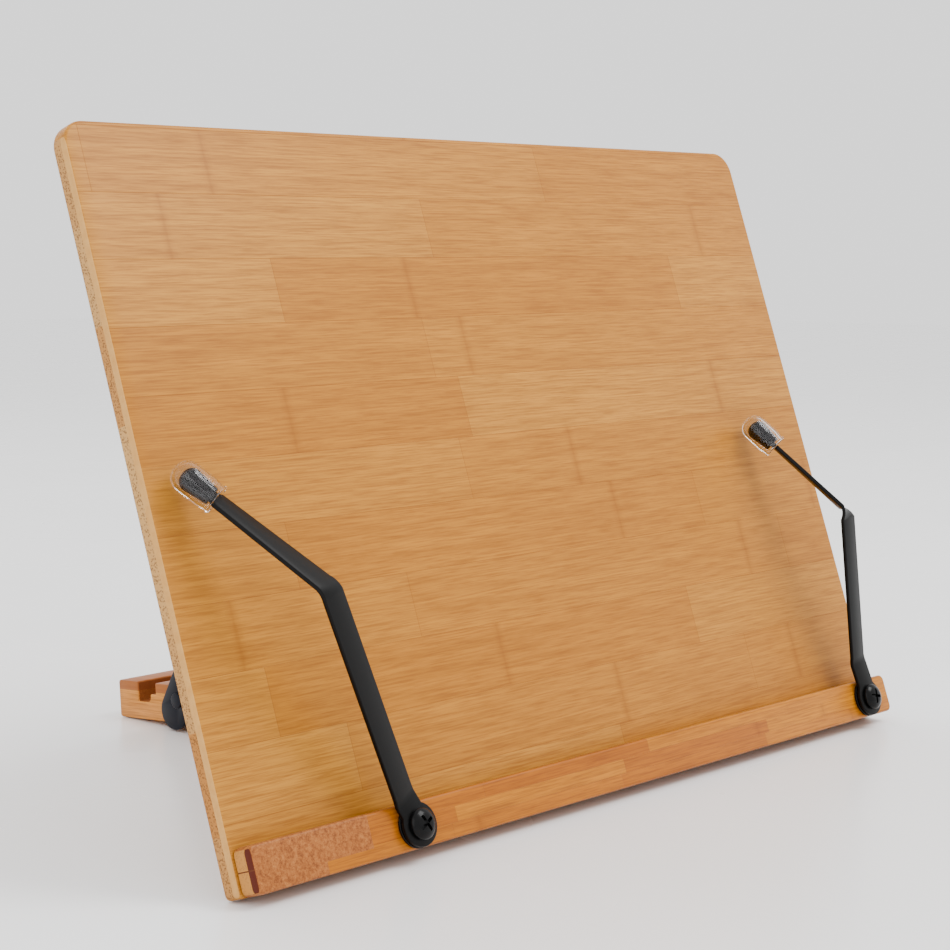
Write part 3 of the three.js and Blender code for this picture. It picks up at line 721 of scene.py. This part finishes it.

# %% [markdown]
# ## Beads and sleeves
# The arm's end must not mark a page. A dark rubber bead is pushed on it, under a clear soft cap
# with a rolled rim at its open neck. Both are turned shapes, so each starts as a cylinder along the
# arm's end; a walk along the arm's listed bends, from its screw, tells where that end is and which
# way it points.

# %% The arm's end directions
bends = {
    "left": dict(turn=-23.2, flat=9.6, kink_line=17.8, kink=15.6, lower=73.4,
                 fold_line=-18.2, fold=42.2, upper=42),
    "right": dict(turn=-5.7, flat=15.4, kink_line=17.5, kink=17.1, lower=59.3,
                  fold_line=-38.4, fold=57.2, upper=36.9),
}
kink_long, fold_long, neck_long = 3, 5, 1.2
gap = 0.3


def arm_end(side):
    """Walks along the arm from its screw, round its two bends, to the neck of its end."""
    shape = bends[side]
    place, along, wide = Vector(), Vector((0, 0, 1)), Vector((1, 0, 0))

    def bend(line, angle, length, steps):
        nonlocal place, along, wide
        crease = wide * math.cos(line) + along * math.sin(line)
        turn = Matrix.Rotation(angle / steps, 3, crease)
        for _ in range(steps):
            along, wide = turn @ along, turn @ wide
            place = place + along * (length / steps)

    place = place + along * (shape["flat"] - kink_long / 2)
    bend(math.radians(shape["kink_line"]), math.radians(shape["kink"]), kink_long, 3)
    place = place + along * (shape["lower"] - kink_long / 2 - fold_long / 2)
    bend(math.radians(shape["fold_line"]), -math.radians(shape["fold"]), fold_long, 6)
    place = place + along * (shape["upper"] - fold_long / 2 + neck_long)
    out = wide.cross(along)
    here = Matrix((wide, -out, along)).transposed().to_4x4()
    here.translation = place * mm
    screw_x = joints[side + "_arm_pivot"]["pos_m"][0] / mm
    strip_off = -ledge_face + 2 * gap + spacer_thick + strip_thick / 2
    arm = Matrix.Translation(Vector((screw_x, -strip_off, screw_height)) * mm)
    return on_board @ arm @ Matrix.Rotation(math.radians(shape["turn"]), 4, "Y") @ here


print("left arm ends at", [round(v, 4) for v in arm_end("left").translation])

# %% Beads
bead_radius, bead_long, bead_start, wall_thick = 3.8, 12, 0.6, 0.9
sleeve_over, sleeve_neck = 1.6, 1


def bead(side):
    body = peg(side + "_bead", bead_radius, bead_long - bead_start,
               (0, 0, (bead_long + bead_start) / 2), sides=40)
    pick(body, "EDGE", lambda m, s: abs(m.z - bead_long * mm) < 1e-6)
    bpy.ops.mesh.bevel(offset=3.3 * mm, segments=8)
    leave_edit()
    pick(body, "VERT", lambda m, s: abs(m.z - bead_start * mm) < 1e-6)
    bpy.ops.transform.resize(value=(0.76, 0.76, 1), center_override=(0, 0, 0))
    leave_edit()
    round_edges(body, 0.35 * mm, 3, 40)
    return set_in_place(body, arm_end(side), "arm_" + side, rubber, "dark_rubber",
                        side + "_tip_bead")


# %% Sleeves
def sleeve(side):
    outer = bead_radius + gap + wall_thick
    top = bead_long - bead_radius + sleeve_over + outer
    shell = peg(side + "_sleeve", outer, top + sleeve_neck, (0, 0, (top - sleeve_neck) / 2),
                sides=44)
    pick(shell, "FACE", lambda m, s: abs(m.z + sleeve_neck * mm) < 1e-6 and s.z < 1e-7)
    bpy.ops.mesh.delete(type="FACE")
    leave_edit()
    for level in (-0.5, 0.2, 3):
        pick(shell, "VERT", lambda m, s: True)
        bpy.ops.mesh.bisect(plane_co=(0, 0, level * mm), plane_no=(0, 0, 1))
        leave_edit()
    for level, radius in ((-sleeve_neck, 4.6), (-0.5, 4.9), (0.2, 4.6)):
        pick(shell, "VERT", lambda m, s: abs(m.z - level * mm) < 1e-6)
        squeeze = radius / outer
        bpy.ops.transform.resize(value=(squeeze, squeeze, 1), center_override=(0, 0, 0))
        leave_edit()
    pick(shell, "EDGE", lambda m, s: abs(m.z - top * mm) < 1e-6 and s.z < 1e-7)
    bpy.ops.mesh.bevel(offset=4.6 * mm, segments=10)
    leave_edit()
    run_modifier(shell, "SOLIDIFY", thickness=wall_thick * mm, offset=-1)
    return set_in_place(shell, arm_end(side), "arm_" + side, clear, "clear_plastic",
                        side + "_tip_sleeve", smooth=50)


for side in ("left", "right"):
    bead(side)
    sleeve(side)

# %% [markdown]
# ## The studio
# A plain pale floor, one broad soft light from the upper right,
# a weaker one from the left and a bright even sky, so that shadows are soft and short.

# %% Floor, sky and lights
def floor_finish():
    finish = Finish("floor_white", Specular_IOR_Level=0.4)
    cloud = finish.noise(finish.place(), 6, 3, 0.5)
    colour = finish.blend(cloud, srgb(246, 246, 246), srgb(252, 252, 252))
    return finish.feed(Base_Color=colour, Roughness=0.22 + cloud * 0.1)


bpy.ops.object.select_all(action="DESELECT")
bpy.ops.mesh.primitive_plane_add(size=8, location=(0, 0, -0.0002))
floor = bpy.context.object
floor.name = "floor"
bpy.ops.object.transform_apply(location=True, rotation=True, scale=True)
floor.data.materials.append(floor_finish())

world = bpy.data.worlds.new("sky")
bpy.context.scene.world = world
world.use_nodes = True
world.node_tree.nodes["Background"].inputs["Color"].default_value = (1, 1, 1, 1)
world.node_tree.nodes["Background"].inputs["Strength"].default_value = 1.5


def soft_light(name, place, aim, size, power):
    lamp = bpy.data.lights.new(name, "AREA")
    lamp.size, lamp.energy = size, power
    light = bpy.data.objects.new(name, lamp)
    light.location = place
    light.rotation_euler = (Vector(aim) - Vector(place)).to_track_quat("-Z", "Y").to_euler()
    bpy.context.scene.collection.objects.link(light)


soft_light("key", (0.7, -0.9, 1.5), (0, 0, 0.1), 0.8, 24)
soft_light("fill", (-1.2, -0.5, 0.7), (0, 0, 0.1), 1.0, 5)
soft_light("rim", (0.2, 1.1, 1.2), (0, 0, 0.1), 0.8, 5)
